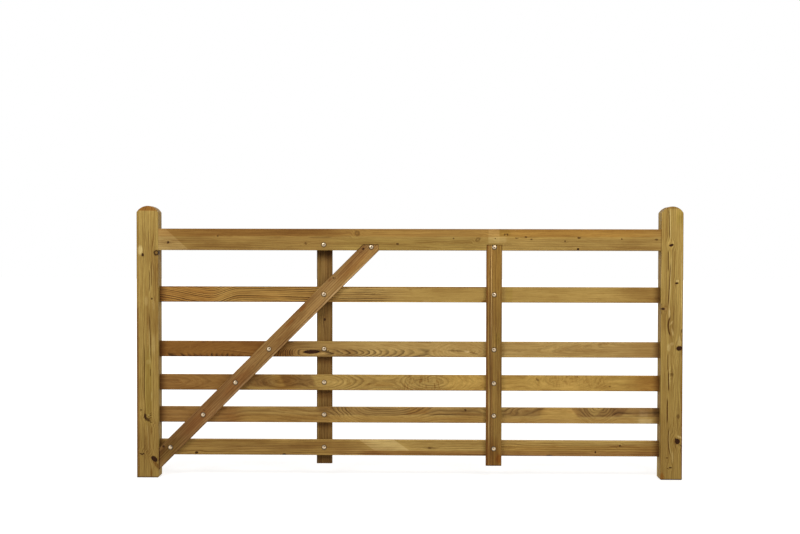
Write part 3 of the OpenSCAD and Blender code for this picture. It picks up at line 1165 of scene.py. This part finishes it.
def modelNut(size):
    high, sides = size["nutHigh"], size["sides"]
    corner = size["nutWide"] / math.cos(math.radians(30))
    piece = addRound("nut", corner, high, 0, 6)
    cone = addRound("cone", corner * size["nutCone"], high, 0, sides)
    mesh = editMesh(cone)
    pick(cone, mesh, lambda middle, normal: abs(normal.y) > 0.9)
    bpy.ops.mesh.bevel(offset=size["nutChamfer"], segments=1, affect="EDGES")
    leaveEdit()
    cutWith(piece, cone, "INTERSECT")
    bore = addRound("bore", size["thread"] * size["nutBore"], high * 3, -high, sides)
    cutWith(piece, bore, "DIFFERENCE")
    roundEdges(piece, size["nutEdge"], size["merge"])
    return piece


def roundEdges(piece, width, merge):
    bpy.context.view_layer.objects.active = piece
    bevel = piece.modifiers.new("edges", "BEVEL")
    bevel.width = width
    bevel.segments = 2
    bevel.limit_method = "ANGLE"
    bevel.angle_limit = math.radians(35)
    bpy.ops.object.modifier_apply(modifier="edges")
    # a bevel round a bore leaves points on top of one another
    editMesh(piece)
    bpy.ops.mesh.select_all(action="SELECT")
    bpy.ops.mesh.remove_doubles(threshold=merge)
    bpy.ops.mesh.dissolve_degenerate(threshold=merge)
    leaveEdit()


def zincMaterial(tones):
    material, sheet = newMaterial("bright_zinc")
    place = sheet.add("TexCoord", output="Object")
    # only the bolts carry these two, so the nuts and washers read 0 and get neither the dark rim nor
    # the painted shade below
    away = sheet.add("Attribute", {"attribute_name": "away"}, output="Fac")
    below = sheet.add("Attribute", {"attribute_name": "below"}, output="Fac")
    spangle = sheet.noise(place, 260.0, 2.0)
    smear = sheet.noise(place, 900.0, 3.0)
    rim = sheet.step(away, 0.62, 0.90)
    lowerShade = sheet.step(below, 0.0, 0.35, 0.6)
    colour = sheet.mix(sheet.step(spangle, 0.35, 0.65), tones["warm"], tones["bright"])
    colour = sheet.mix(lowerShade, colour, tones["shadowTone"])    # painted shade: the lower half is darker
    colour = sheet.mix(rim, colour, tones["darkRim"])    # the rim is darker and duller
    bump = addBump(sheet, smear, 0.25, 0.0002)
    rough = spangle * 0.16 + rim * 0.4 + 0.18
    finish = {"Base Color": colour, "Metallic": 1.0 - rim * 0.8, "Roughness": rough, "Normal": bump}
    endWith(sheet, "BsdfPrincipled", finish)
    return material


def markHead(piece, x, z, reach):
    # stores how far each point lies from the head's middle, and below it, in radii of the head
    for name in ("away", "below"):
        piece.data.attributes.new(name, "FLOAT", "POINT")
    away, below = [piece.data.attributes[name].data for name in ("away", "below")]
    for point in piece.data.vertices:
        side, rise = (point.co.x - x) / reach, (point.co.z - z) / reach
        away[point.index].value = math.hypot(side, rise)
        below[point.index].value = -rise


def addBolts(size):
    zinc = zincMaterial(zincTones)
    nearNut = size["washerThick"] + size["nutHigh"] + size["stub"]
    longest = max(nutFace - headFace for name, x, z, headFace, nutFace in places) + nearNut
    models = {
        "bolt": modelBolt(size, longest),
        "washer": modelWasher(size),
        "nut": modelNut(size),
    }
    for count, (name, x, z, headFace, nutFace) in enumerate(places):
        for kind, model in models.items():
            piece = bpy.data.objects.new(kind + "_" + name, model.data.copy())
            bpy.context.scene.collection.objects.link(piece)
            y = {"bolt": headFace, "washer": nutFace, "nut": nutFace + size["washerThick"]}[kind]
            piece.rotation_euler = (0, math.radians(size["turnEach"] * count), 0)
            piece.location = (x, y, z)
            settle(piece)
            if kind == "bolt":
                # the shank is drawn back to this crossing's own thickness
                spare = longest - nearNut - (nutFace - headFace)
                neck = headFace + size["thread"]
                movePoints(piece, lambda place: place.y > neck, -spare)
                leaveEdit()
                markHead(piece, x, z, size["headWide"] / 2)
            deselect()
            piece.select_set(True)
            bpy.context.view_layer.objects.active = piece
            bpy.ops.object.shade_smooth_by_angle(angle=math.radians(size["smooth"]))
            piece.data.materials.clear()
            piece.data.materials.append(zinc)
            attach(piece, "root")
    for model in models.values():
        bpy.data.objects.remove(model)
    return len(places)


print("bolts fitted:", addBolts(bolt))
